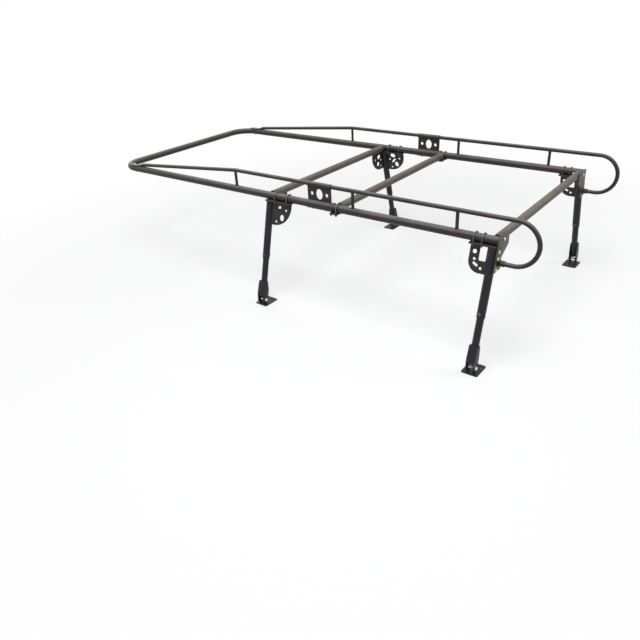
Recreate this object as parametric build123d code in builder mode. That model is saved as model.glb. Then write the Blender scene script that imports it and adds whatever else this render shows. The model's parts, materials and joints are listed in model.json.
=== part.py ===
from build123d import *
import os
from math import atan2, cos, hypot, sin

# A contractor's ladder rack for a pickup with a cap. Millimetres, +Z up, +X towards the tailgate,
# +Y towards the passenger side. The feet stand on z = 0, and the rack is centred on the origin.

# ---- overall sizes
rail_spacing = 1390.0     # between the axes of the two side rails
rail_height = 730.0       # side rail axis above the bed rails
leg_spacing = 1564.0      # front legs to rear legs
front_overhang = 1580.0   # front legs to the axis of the hoop's cross tube
foot_spacing = 1740.0     # between the foot pivots of the two sides
hoop_corner_radius = 150.0

# ---- tubes
rail_od = 48.3
rail_wall = 2.6
cap_thickness = 2.0       # closes the rear end of a side rail
bar_od = 48.3
bar_wall = 2.6
leg_od = 48.3
leg_wall = 3.0
slide_gap = 0.4           # between the two leg tubes, all round
inner_leg_wall = 2.6
guard_od = 25.4
guard_wall = 2.0
guard_rise = 129.0        # guard rail axis above side rail axis
post_od = 19.0
post_stations = (220.0, 901.0, 1868.0)    # ahead of the rear legs

# ---- splice between the hoop and the rear rails
splice_station = 1151.0   # middle of the splice, ahead of the rear legs
splice_length = 182.0
splice_gap = 1.0          # between the two butted tube ends
sleeve_wall = 3.0
sleeve_gap = 0.15         # between a tube and its sleeve, all round
splice_plate_thickness = 5.0
splice_window_width = 50.0
splice_window_margin = 9.925   # plate left between the window and each sleeve
splice_hole_diameter = 22.0
splice_hole_offset = 57.0
splice_screw = 8.0
screw_offset = 55.0            # from the middle of the splice

# ---- guard rails
guard_nose_station = 3030.0    # front tip of the flattened end, ahead of the rear legs
guard_flat_length = 90.0
guard_flat_width = 36.0
guard_flat_thickness = 5.0
guard_flat_edge = 2.4          # round of its long edges where it opens
guard_nose_corner = 12.0
guard_neck_length = 60.0       # where the flat end opens into the round tube
neck_lift = 1.0                # tube clear of the hoop where it starts to rise
guard_bend_radius = 300.0
loop_radius = 125.0
loop_station = 110.0           # centre of the rear loop behind the rear legs
socket_length = 34.0
socket_wall = 3.5

# ---- leg heads
plate_thickness = 6.0
gusset_thickness = 5.0
saddle_width = 76.0
saddle_corner = 8.0
saddle_margin = 6.0            # saddle past its side gusset
leg_offset = 5.0               # leg axis outboard of the rail axis at the saddle
front_gusset_reach = 184.0     # from the leg axis
front_gusset_shoulder = 24.0   # straight part of the free edge, below the saddle
front_gusset_depth = 157.0     # below the saddle
rear_gusset_reach = 128.0
rear_gusset_shoulder = 92.0
rear_gusset_depth = 160.0
gusset_tail = 50.0             # where the curved edge ends, from the leg axis
cross_gusset_reach = 165.0     # inboard of the rail axis
cross_gusset_depth = 135.0
bracket_reach = 117.0          # rear crossbar bracket, inboard of the rail axis
bracket_depth = 165.0          # below the rail axis
bracket_strip = 31.0           # inner edge of its narrow part, inboard of the rail axis
bracket_shoulder = 48.0        # below the rail axis
bracket_throat = 102.0
bracket_corner = 7.0
cross_gusset_tail = 20.0       # where the curved edge ends, inboard of the leg
saddle_slack = 1.0             # around the saddle where the cross gusset passes it

small_hole = 16.0              # small round holes in the gussets
front_gusset_oval = (84.0, -28.0, 44.0, 34.0)      # centre from the leg top, and its two widths
front_gusset_round = (112.0, -102.0, 34.0, 42.0)
front_gusset_slot = (88.0, -72.0, 50.0, 13.0, 48.0)    # centre, length, width, tilt
front_gusset_holes = ((52.0, -64.0), (142.0, -50.0), (66.0, -132.0))
rear_gusset_window = (52.0, -50.0, 40.0, 82.0, 8.0)    # centre, widths, corner radius
rear_gusset_round = (100.0, -46.0, 24.0, 24.0)
rear_gusset_slot = (86.0, -114.0, 34.0, 15.0, 30.0)
rear_gusset_holes = ((96.0, -86.0), (54.0, -132.0))
cross_gusset_oval = (76.0, -36.0, 40.0, 34.0)      # centre inboard of the leg top and under the bar
cross_gusset_round = (84.0, -92.0, 34.0, 34.0)
cross_gusset_holes = ((126.0, -52.0), (44.0, -66.0), (42.0, -116.0))

# ---- crossbars
mid_bar_station = 1027.0       # ahead of the rear legs
mid_bar_gap = 0.35             # running gap between the middle bar's clamps and the rails
clamp_length = 60.0
clamp_margin = 4.0             # plate past its U-bolts, and U-bolt to crossbar end
clamp_overlap = 40.0           # plate under the crossbar's end
bar_end_gap = 1.0

# ---- fasteners
ubolt_rod = 8.0
ubolt_seat = 0.2               # between a fixed U-bolt and its rail
ubolt_tail = 12.0              # below the plate
mid_ubolt_offset = 18.0
front_ubolt_offsets = (60.0, 160.0)
rear_ubolt_offsets = (60.0, 108.0)
bracket_bolt = 10.0
bracket_bolt_drops = (54.0, 92.0, 148.0)   # below the rail axis
bar_bolt_inset = 18.0          # from the end of the rear crossbar
bolt_tail = 14.0               # shank past the far side of a tube
bolt_grip = 18.0               # shank inside the leg tube
guard_bolt = 8.0
guard_bolt_tail = 10.0         # shank past the far side of the hoop
lock_bolt = 10.0
hole_clearance = 0.5           # bolt holes, on the radius
hex_width = 1.7                # across flats, in diameters
head_height = 0.64
nut_height = 0.8
overcut = 1.0                  # how far a cutting tool passes the piece
thread_fit = 0.05              # nut on its bolt, on the radius

# ---- telescoping legs and feet
upper_leg_length = 395.0
lock_offset = 24.0             # lock bolt above the upper tube's lower end
leg_travel = 150.0
inner_leg_spare = 40.0         # inner tube above its slot
pivot_height = 35.0            # foot pivot above the bed rail
pivot_bolt = 12.0
pivot_fit = 0.08               # on the radius
foot_cheek = 5.0
foot_round = 25.0              # round lower end of the foot bracket
foot_bracket_height = 132.0
foot_flare_height = 42.0       # its widest place, above the pivot
foot_taper_height = 66.0       # where its inboard edge starts to slope in
foot_top_inset = 10.0          # top of that edge, inboard of the leg axis
foot_flare = 8.0               # outboard swell of the bracket above its round end
foot_web_start = 30.0          # the outboard web starts this far above the pivot
ear_thickness = 5.0
ear_round = 17.0
ear_gap = 0.5                  # between the ears and the cheeks
tube_end_height = 26.0         # inner leg tube's lower end above the pivot
base_thickness = 6.0
base_length = 100.0
base_inboard = 95.0
base_outboard = 28.0
base_corner = 10.0
base_hole = 11.0
base_hole_spacing = 64.0
base_hole_inboard = 66.0

# ---- derived places
rail_r = rail_od / 2
bar_r = bar_od / 2
leg_r = leg_od / 2
guard_r = guard_od / 2
rail_y = rail_spacing / 2
front_end = leg_spacing + front_overhang + rail_r
rear_end = loop_station + loop_radius + guard_r
rear_x = (front_end - rear_end) / 2
front_x = rear_x - leg_spacing
hoop_x = front_x - front_overhang
mid_x = rear_x - mid_bar_station
splice_x = rear_x - splice_station
guard_z = rail_height + guard_rise
saddle_top = rail_height - rail_r
saddle_z = saddle_top - plate_thickness
bar_z = saddle_top + bar_r
leg_top_y = rail_y + leg_offset
leg_foot_y = foot_spacing / 2
leg_rise = saddle_z - pivot_height
leg_run = leg_foot_y - leg_top_y
leg_length = hypot(leg_rise, leg_run)
lean = atan2(leg_run, leg_rise)
inner_leg_od = leg_od - 2 * (leg_wall + slide_gap)
inner_leg_r = inner_leg_od / 2
step_height = leg_length - upper_leg_length
lock_height = step_height + lock_offset
bracket_plane = max(leg_r, bar_r)
sleeve_r = rail_r + sleeve_gap + sleeve_wall
guard_sleeve_r = guard_r + sleeve_gap + sleeve_wall

guard_bolt_x = rear_x - guard_nose_station + guard_flat_length / 2
bar_end_y = rail_y - rail_r - bar_end_gap
bracket_face = rear_x + bracket_plane
rear_bar_x = bracket_face - bar_r
bracket_back = bracket_face + plate_thickness

sides = {"left": -1, "right": 1}
ends = {"front": (front_x, 1), "rear": (rear_x, -1)}    # leg station, way the side gusset points

os.makedirs("parts", exist_ok=True)


def leg_y(z):
    """How far out a leg's axis is at a height above the bed rail."""
    return leg_top_y + (saddle_z - z) * leg_run / leg_rise


bracket_bolt_z = [rail_height - drop for drop in bracket_bolt_drops]
bracket_bolt_y = [leg_y(z) for z in bracket_bolt_z]


def save(piece, label):
    piece.label = label
    export_step(piece, f"parts/{label}.step")


def across(x):
    """A plane facing +X at station x, with its own x along +Y and its own y up."""
    return Plane(origin=(x, 0, 0), x_dir=(0, 1, 0), z_dir=(1, 0, 0))


def leg_plane(x, side, height):
    """A plane square to a leg at a height above its foot pivot, measured along the leg."""
    foot = Vector(x, side * leg_foot_y, pivot_height)
    up = Vector(0, -side * sin(lean), cos(lean))
    return Plane(origin=foot + up * height, x_dir=(1, 0, 0), z_dir=up)


def leg_face(x, side):
    """The plane that holds a leg's axis and the X direction, with its own y up the leg."""
    out = Vector(0, -cos(lean), -side * sin(lean))
    top = Vector(x, side * leg_top_y, saddle_z)
    return Plane(origin=top, x_dir=(1, 0, 0), z_dir=out)


def rod(plane, radius, length):
    """A round rod that starts on the plane and runs along its normal."""
    with BuildPart() as solid_rod:
        with BuildSketch(plane):
            Circle(radius)
        extrude(amount=length)
    return solid_rod.part


def tube_x(x0, x1, y, z, outer_r, inner_r):
    """A straight round tube along X."""
    with BuildPart() as tube:
        with BuildSketch(across(x0)):
            with Locations((y, z)):
                Circle(outer_r)
                Circle(inner_r, mode=Mode.SUBTRACT)
        extrude(amount=x1 - x0)
    return tube.part


def rod_x(x0, x1, y, z, radius):
    """A round rod along X."""
    return rod(Plane(origin=(x0, y, z), z_dir=(1, 0, 0)), radius, x1 - x0)


def cut_oval(way, oval):
    """An oval cut in the open sketch, placed the way its plate points."""
    x, y, width, height = oval
    with Locations((way * x, y)):
        Ellipse(width / 2, height / 2, mode=Mode.SUBTRACT)


def cut_slot(way, slot):
    """A tilted slot cut in the open sketch."""
    x, y, length, width, tilt = slot
    with Locations(Location((way * x, y), way * tilt)):
        SlotOverall(length, width, mode=Mode.SUBTRACT)


def cut_holes(way, places):
    """Small round holes cut in the open sketch."""
    with Locations([(way * x, y) for x, y in places]):
        Circle(small_hole / 2, mode=Mode.SUBTRACT)


def hexagon(size):
    """A hexagon across its flats, drawn in the open sketch."""
    RegularPolygon(size / 2, 6, major_radius=False)


def hex_bolt(plane, diameter, length):
    """A hex bolt whose head stands on the plane, with its shank along -Z of the plane."""
    with BuildPart() as bolt:
        with BuildSketch(plane):
            hexagon(hex_width * diameter)
        extrude(amount=head_height * diameter)
        with BuildSketch(plane):
            Circle(diameter / 2)
        extrude(amount=-length)
    return bolt.part


def hex_nut(plane, diameter):
    """A nut that stands on the plane."""
    with BuildPart() as nut:
        with BuildSketch(plane):
            hexagon(hex_width * diameter)
            Circle(diameter / 2 + thread_fit, mode=Mode.SUBTRACT)
        extrude(amount=nut_height * diameter)
    return nut.part


def u_bolt(x, side, seat, bottom):
    """A U-bolt over a side rail, seated with a gap, its two ends down to the bottom height."""
    radius = rail_r + seat + ubolt_rod / 2
    y = side * rail_y
    with BuildPart() as bolt:
        with BuildLine():
            Line((x, y - radius, bottom), (x, y - radius, rail_height))
            ThreePointArc(
                (x, y - radius, rail_height),
                (x, y, rail_height + radius),
                (x, y + radius, rail_height),
            )
            Line((x, y + radius, rail_height), (x, y + radius, bottom))
        with BuildSketch(Plane(origin=(x, y - radius, bottom), z_dir=(0, 0, 1))):
            Circle(ubolt_rod / 2)
        sweep()
    return bolt.part


def u_bolt_nuts(x, side, seat, top):
    """The two nuts of a U-bolt, under the plate whose lower face is at the top height."""
    radius = rail_r + seat + ubolt_rod / 2
    return [
        hex_nut(Plane(origin=(x, side * rail_y + way * radius, top), z_dir=(0, 0, -1)), ubolt_rod)
        for way in (-1, 1)
    ]


# ---- front hoop: both front side rails and the cross tube, bent from one tube
splice_front = splice_x - splice_gap / 2
with BuildPart() as front_hoop:
    with BuildLine():
        FilletPolyline(
            (splice_front, -rail_y, rail_height),
            (hoop_x, -rail_y, rail_height),
            (hoop_x, rail_y, rail_height),
            (splice_front, rail_y, rail_height),
            radius=hoop_corner_radius,
        )
    with BuildSketch(Plane(origin=(splice_front, -rail_y, rail_height), z_dir=(-1, 0, 0))):
        Circle(rail_r)
        Circle(rail_r - rail_wall, mode=Mode.SUBTRACT)
    sweep()
    with BuildSketch(Plane.XY.offset(rail_height - rail_r)):
        with Locations((guard_bolt_x, -rail_y), (guard_bolt_x, rail_y)):
            Circle(guard_bolt / 2 + hole_clearance)
    extrude(amount=rail_od, mode=Mode.SUBTRACT)
save(front_hoop.part, "front_hoop")

# ---- rear side rails, each closed by a cap against the rear bracket
for name, side in sides.items():
    rail = tube_x(
        splice_x + splice_gap / 2, bracket_face - cap_thickness,
        side * rail_y, rail_height, rail_r, rail_r - rail_wall,
    )
    save(rail, f"rear_rail_{name}")

with BuildPart() as rail_end_caps:
    for side in sides.values():
        with BuildSketch(across(bracket_face - cap_thickness)):
            with Locations((side * rail_y, rail_height)):
                Circle(rail_r)
        extrude(amount=cap_thickness)
save(rail_end_caps.part, "rail_end_caps")

# ---- splice: a sleeve on the side rail, a sleeve on the guard rail, and a punched plate between
splice_x0 = splice_x - splice_length / 2
splice_x1 = splice_x + splice_length / 2
rail_sleeves = []
guard_sleeves = []
splice_screws = []
for name, side in sides.items():
    y = side * rail_y
    screw_seats = [
        Plane(origin=(splice_x + way * screw_offset, y, rail_height - sleeve_r), z_dir=(0, 0, -1))
        for way in (-1, 1)
    ]
    with BuildPart() as rail_sleeve:
        add(tube_x(splice_x0, splice_x1, y, rail_height, sleeve_r, rail_r + sleeve_gap))
        for seat in screw_seats:
            add(rod(seat.offset(-rail_r), splice_screw / 2 + thread_fit, rail_od), mode=Mode.SUBTRACT)
    rail_sleeves.append(rail_sleeve.part)
    guard_sleeves.append(
        tube_x(splice_x0, splice_x1, y, guard_z, guard_sleeve_r, guard_r + sleeve_gap)
    )
    with BuildPart() as plate:
        with BuildSketch(Plane(origin=(splice_x, y, rail_height), x_dir=(1, 0, 0), z_dir=(0, -1, 0))):
            with Locations((0, guard_rise / 2)):
                Rectangle(splice_length, guard_rise)
            middle = (sleeve_r + guard_rise - guard_sleeve_r) / 2
            window_height = guard_rise - sleeve_r - guard_sleeve_r - 2 * splice_window_margin
            with Locations((0, middle)):
                Ellipse(splice_window_width / 2, window_height / 2, mode=Mode.SUBTRACT)
            with Locations((-splice_hole_offset, middle), (splice_hole_offset, middle)):
                Circle(splice_hole_diameter / 2, mode=Mode.SUBTRACT)
        extrude(amount=splice_plate_thickness / 2, both=True)
        add(rod_x(splice_x0 - overcut, splice_x1 + overcut, y, rail_height, sleeve_r), mode=Mode.SUBTRACT)
        add(rod_x(splice_x0 - overcut, splice_x1 + overcut, y, guard_z, guard_sleeve_r), mode=Mode.SUBTRACT)
    save(plate.part, f"splice_plate_{name}")
    splice_screws += [hex_bolt(seat, splice_screw, sleeve_wall) for seat in screw_seats]
save(Compound(rail_sleeves), "rail_sleeves")
save(Compound(guard_sleeves), "guard_sleeves")
save(Compound(splice_screws), "splice_screws")

# ---- guard rails: a flattened end bolted on the hoop, a slope up to the first post, then level,
# ---- and behind the splice a level run that ends in the rear loop
post_x = [rear_x - station for station in post_stations]
nose_x = rear_x - guard_nose_station
flat_end_x = nose_x + guard_flat_length
neck_x = flat_end_x + guard_neck_length
flat_z = rail_height + rail_r
neck_z = flat_z + guard_r + neck_lift
guard_end_bolts = []
guard_rails = {}
for name, side in sides.items():
    y = side * rail_y
    slope = Vector(post_x[-1] - neck_x, 0, guard_z - neck_z).normalized()
    with BuildPart() as guard_front:
        with BuildLine():
            FilletPolyline(
                (neck_x, y, neck_z),
                (post_x[-1], y, guard_z),
                (splice_front, y, guard_z),
                radius=guard_bend_radius,
            )
        neck_plane = Plane(origin=(neck_x, y, neck_z), x_dir=(0, 1, 0), z_dir=slope)
        with BuildSketch(neck_plane):
            Circle(guard_r)
            Circle(guard_r - guard_wall, mode=Mode.SUBTRACT)
        sweep()
        flat_plane = Plane(
            origin=(flat_end_x, y, flat_z + guard_flat_thickness / 2), x_dir=(0, 1, 0), z_dir=(1, 0, 0)
        )
        with BuildSketch(flat_plane):
            RectangleRounded(guard_flat_width, guard_flat_thickness, guard_flat_edge)
        with BuildSketch(neck_plane):
            Circle(guard_r)
        loft(ruled=True)
        with BuildSketch(Plane.XY.offset(flat_z)):
            with Locations(((nose_x + flat_end_x) / 2, y)):
                Rectangle(guard_flat_length, guard_flat_width)
            with Locations((guard_bolt_x, y)):
                Circle(guard_bolt / 2 + hole_clearance, mode=Mode.SUBTRACT)
        extrude(amount=guard_flat_thickness)
        nose_edges = guard_front.edges().filter_by(Axis.Z).group_by(Axis.X)[0]
        fillet(nose_edges, guard_nose_corner)
    save(guard_front.part, f"guard_rail_front_{name}")
    head_seat = Plane(origin=(guard_bolt_x, y, flat_z + guard_flat_thickness), z_dir=(0, 0, 1))
    nut_seat = Plane(origin=(guard_bolt_x, y, rail_height - rail_r), z_dir=(0, 0, -1))
    guard_bolt_length = guard_flat_thickness + rail_od + guard_bolt_tail
    guard_end_bolts.append(hex_bolt(head_seat, guard_bolt, guard_bolt_length))
    guard_end_bolts.append(hex_nut(nut_seat, guard_bolt))

    loop_x = rear_x + loop_station
    with BuildPart() as guard_rear:
        with BuildLine():
            Line((splice_x + splice_gap / 2, y, guard_z), (loop_x, y, guard_z))
            ThreePointArc(
                (loop_x, y, guard_z),
                (loop_x + loop_radius, y, guard_z - loop_radius),
                (loop_x, y, guard_z - 2 * loop_radius),
            )
            Line(
                (loop_x, y, guard_z - 2 * loop_radius),
                (bracket_back, y, guard_z - 2 * loop_radius),
            )
        with BuildSketch(Plane(origin=(splice_x + splice_gap / 2, y, guard_z), z_dir=(1, 0, 0))):
            Circle(guard_r)
            Circle(guard_r - guard_wall, mode=Mode.SUBTRACT)
        sweep()
    save(guard_rear.part, f"guard_rail_rear_{name}")
    guard_rails[side] = (guard_front.part, guard_rear.part)
save(Compound(guard_end_bolts), "guard_end_bolts")

# ---- guard posts, coped to the two rails that they join
posts = []
for side in sides.values():
    y = side * rail_y
    for x in post_x:
        guard_rail = guard_rails[side][0 if x < splice_x else 1]
        with BuildPart() as post:
            with BuildSketch(Plane.XY.offset(rail_height)):
                with Locations((x, y)):
                    Circle(post_od / 2)
            extrude(amount=guard_rise)
            add(rod_x(x - post_od, x + post_od, y, rail_height, rail_r), mode=Mode.SUBTRACT)
            add(guard_rail, mode=Mode.SUBTRACT)
        posts.append(post.part.solids().sort_by(SortBy.VOLUME)[-1])
save(Compound(posts), "guard_posts")

# ---- sockets on the rear brackets, which hold the lower ends of the rear loops
loop_low_z = guard_z - 2 * loop_radius
sockets = [
    tube_x(
        bracket_back, bracket_back + socket_length, side * rail_y, loop_low_z,
        guard_r + sleeve_gap + socket_wall, guard_r + sleeve_gap,
    )
    for side in sides.values()
]
save(Compound(sockets), "loop_sockets")

# ---- saddles: the plate on top of each leg that the side rail lies on, held by two U-bolts
saddle_reach = {"front": front_gusset_reach, "rear": rear_gusset_reach}
ubolt_offsets = {"front": front_ubolt_offsets, "rear": rear_ubolt_offsets}
saddles = []
rail_ubolts = []
rail_ubolt_nuts = []
for end, (leg_x, way) in ends.items():
    saddle_x0 = leg_x - way * bracket_plane
    saddle_x1 = leg_x + way * (saddle_reach[end] + saddle_margin)
    bolt_x = [leg_x + way * offset for offset in ubolt_offsets[end]]
    for side in sides.values():
        y = side * rail_y
        with BuildPart() as saddle:
            with BuildSketch(Plane.XY.offset(saddle_z)):
                with Locations(((saddle_x0 + saddle_x1) / 2, y)):
                    Rectangle(abs(saddle_x1 - saddle_x0), saddle_width)
                hole_y = rail_r + ubolt_seat + ubolt_rod / 2
                with Locations([(x, y + s * hole_y) for x in bolt_x for s in (-1, 1)]):
                    Circle(ubolt_rod / 2 + hole_clearance, mode=Mode.SUBTRACT)
            extrude(amount=plate_thickness)
            fillet(saddle.edges().filter_by(Axis.Z).filter_by(GeomType.LINE), saddle_corner)
        saddles.append(saddle.part)
        for x in bolt_x:
            rail_ubolts.append(u_bolt(x, side, ubolt_seat, saddle_z - ubolt_tail))
            rail_ubolt_nuts += u_bolt_nuts(x, side, ubolt_seat, saddle_z)
save(Compound(saddles), "saddle_plates")
save(Compound(rail_ubolts), "rail_ubolts")
save(Compound(rail_ubolt_nuts), "rail_ubolt_nuts")

# ---- side gussets: lightened plates in the plane of each leg, under the saddle
for end, (leg_x, way) in ends.items():
    reach = saddle_reach[end]
    shoulder = front_gusset_shoulder if end == "front" else rear_gusset_shoulder
    depth = front_gusset_depth if end == "front" else rear_gusset_depth
    for name, side in sides.items():
        with BuildPart() as gusset:
            with BuildSketch(leg_face(leg_x, side)):
                with BuildLine():
                    Polyline(
                        (way * gusset_tail, -depth),
                        (way * leg_r, -depth),
                        (way * leg_r, saddle_width / 2),
                        (way * reach, saddle_width / 2),
                        (way * reach, -shoulder),
                    )
                    TangentArc(
                        (way * reach, -shoulder), (way * gusset_tail, -depth), tangent=(0, -1)
                    )
                make_face()
                if end == "front":
                    cut_oval(way, front_gusset_oval)
                    cut_oval(way, front_gusset_round)
                    cut_slot(way, front_gusset_slot)
                    cut_holes(way, front_gusset_holes)
                else:
                    window_x, window_y, window_width, window_height, window_corner = rear_gusset_window
                    with Locations((way * window_x, window_y)):
                        RectangleRounded(window_width, window_height, window_corner, mode=Mode.SUBTRACT)
                    cut_oval(way, rear_gusset_round)
                    cut_slot(way, rear_gusset_slot)
                    cut_holes(way, rear_gusset_holes)
            extrude(amount=gusset_thickness / 2, both=True)
            split(bisect_by=Plane.XY.offset(saddle_z), keep=Keep.BOTTOM)
        save(gusset.part, f"side_gusset_{end}_{name}")

# ---- fixed crossbars
with BuildPart() as crossbar_front:
    with BuildSketch(Plane(origin=(front_x, -bar_end_y, bar_z), z_dir=(0, 1, 0))):
        Circle(bar_r)
        Circle(bar_r - bar_wall, mode=Mode.SUBTRACT)
    extrude(amount=2 * bar_end_y)
save(crossbar_front.part, "crossbar_front")

bar_bolt_y = bar_end_y - bar_bolt_inset
with BuildPart() as crossbar_rear:
    with BuildSketch(Plane(origin=(rear_bar_x, -bar_end_y, bar_z), z_dir=(0, 1, 0))):
        Circle(bar_r)
        Circle(bar_r - bar_wall, mode=Mode.SUBTRACT)
    extrude(amount=2 * bar_end_y)
    with BuildSketch(across(rear_bar_x - bar_od)):
        with Locations((-bar_bolt_y, bar_z), (bar_bolt_y, bar_z)):
            Circle(bracket_bolt / 2 + hole_clearance)
    extrude(amount=2 * bar_od, mode=Mode.SUBTRACT)
save(crossbar_rear.part, "crossbar_rear")

# ---- cross gussets: lightened plates under the ends of the front crossbar, welded to the legs
leg_skin = leg_r / cos(lean)
for name, side in sides.items():
    foot = leg_plane(front_x, side, 0)
    inner_y = rail_y - cross_gusset_reach
    tail_y = leg_top_y - leg_skin - cross_gusset_tail
    low_z = saddle_z - cross_gusset_depth
    with BuildPart() as gusset:
        with BuildSketch(across(front_x)):
            with BuildLine():
                Polyline(
                    (side * tail_y, low_z),
                    (side * leg_foot_y, low_z),
                    (side * leg_foot_y, saddle_top),
                    (side * inner_y, saddle_top),
                    (side * inner_y, saddle_top - front_gusset_shoulder),
                )
                TangentArc(
                    (side * inner_y, saddle_top - front_gusset_shoulder),
                    (side * tail_y, low_z),
                    tangent=(0, -1),
                )
            make_face()
            with Locations((side * leg_top_y, saddle_top)):
                cut_oval(-side, cross_gusset_oval)
                cut_oval(-side, cross_gusset_round)
                cut_holes(-side, cross_gusset_holes)
        extrude(amount=gusset_thickness / 2, both=True)
        add(rod(foot, leg_r, 2 * leg_length), mode=Mode.SUBTRACT)
        with BuildSketch(Plane.XY.offset(saddle_z)):
            with Locations((front_x, side * (rail_y + leg_foot_y) / 2)):
                Rectangle(leg_od, leg_foot_y - rail_y + saddle_width + 2 * saddle_slack)
        extrude(amount=saddle_width, mode=Mode.SUBTRACT)
    save(gusset.part.solids().sort_by(Axis.Y)[0 if side > 0 else -1], f"cross_gusset_front_{name}")

# ---- rear crossbar brackets: plates behind the rear legs, bolted to nuts inside the leg tubes
nut_corner = hex_width * bracket_bolt / 3 ** 0.5
weld_nut_seat = ((leg_r - leg_wall) ** 2 - nut_corner ** 2) ** 0.5
bracket_bolts = []
bracket_nuts = []
bar_end_bolts = []
for name, side in sides.items():
    low_z = rail_height - bracket_depth
    low_y = leg_y(low_z) + leg_r
    with BuildPart() as bracket:
        with BuildSketch(across(bracket_face)):
            with BuildLine():
                Polyline(
                    (side * (rail_y + rail_r), rail_height + rail_r),
                    (side * (rail_y - bracket_reach), rail_height + rail_r),
                    (side * (rail_y - bracket_reach), rail_height - bracket_shoulder),
                    (side * (rail_y - bracket_strip), rail_height - bracket_throat),
                    (side * (rail_y - bracket_strip), low_z),
                    (side * low_y, low_z),
                    (side * (rail_y + rail_r), rail_height - rail_r),
                    (side * (rail_y + rail_r), rail_height + rail_r),
                )
            make_face()
            with Locations([(side * y, z) for y, z in zip(bracket_bolt_y, bracket_bolt_z)]):
                Circle(bracket_bolt / 2 + hole_clearance, mode=Mode.SUBTRACT)
            with Locations((side * bar_bolt_y, bar_z)):
                Circle(bracket_bolt / 2 + hole_clearance, mode=Mode.SUBTRACT)
        extrude(amount=plate_thickness)
        corners = bracket.edges().filter_by(Axis.X).filter_by(GeomType.LINE)
        fillet(corners, bracket_corner)
    save(bracket.part, f"bar_bracket_rear_{name}")
    for y, z in zip(bracket_bolt_y, bracket_bolt_z):
        head_seat = Plane(origin=(bracket_back, side * y, z), z_dir=(1, 0, 0))
        nut_seat = Plane(origin=(rear_x + weld_nut_seat, side * y, z), z_dir=(-1, 0, 0))
        bracket_bolts.append(hex_bolt(head_seat, bracket_bolt, bracket_back - rear_x - leg_r + bolt_grip))
        bracket_nuts.append(hex_nut(nut_seat, bracket_bolt))
    head_seat = Plane(origin=(bracket_back, side * bar_bolt_y, bar_z), z_dir=(1, 0, 0))
    nut_seat = Plane(origin=(rear_bar_x - bar_r, side * bar_bolt_y, bar_z), z_dir=(-1, 0, 0))
    bar_end_bolts.append(hex_bolt(head_seat, bracket_bolt, plate_thickness + bar_od + bolt_tail))
    bar_end_bolts.append(hex_nut(nut_seat, bracket_bolt))
save(Compound(bracket_bolts), "bracket_bolts")
save(Compound(bracket_nuts), "bracket_nuts")
save(Compound(bar_end_bolts), "bar_end_bolts")

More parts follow.
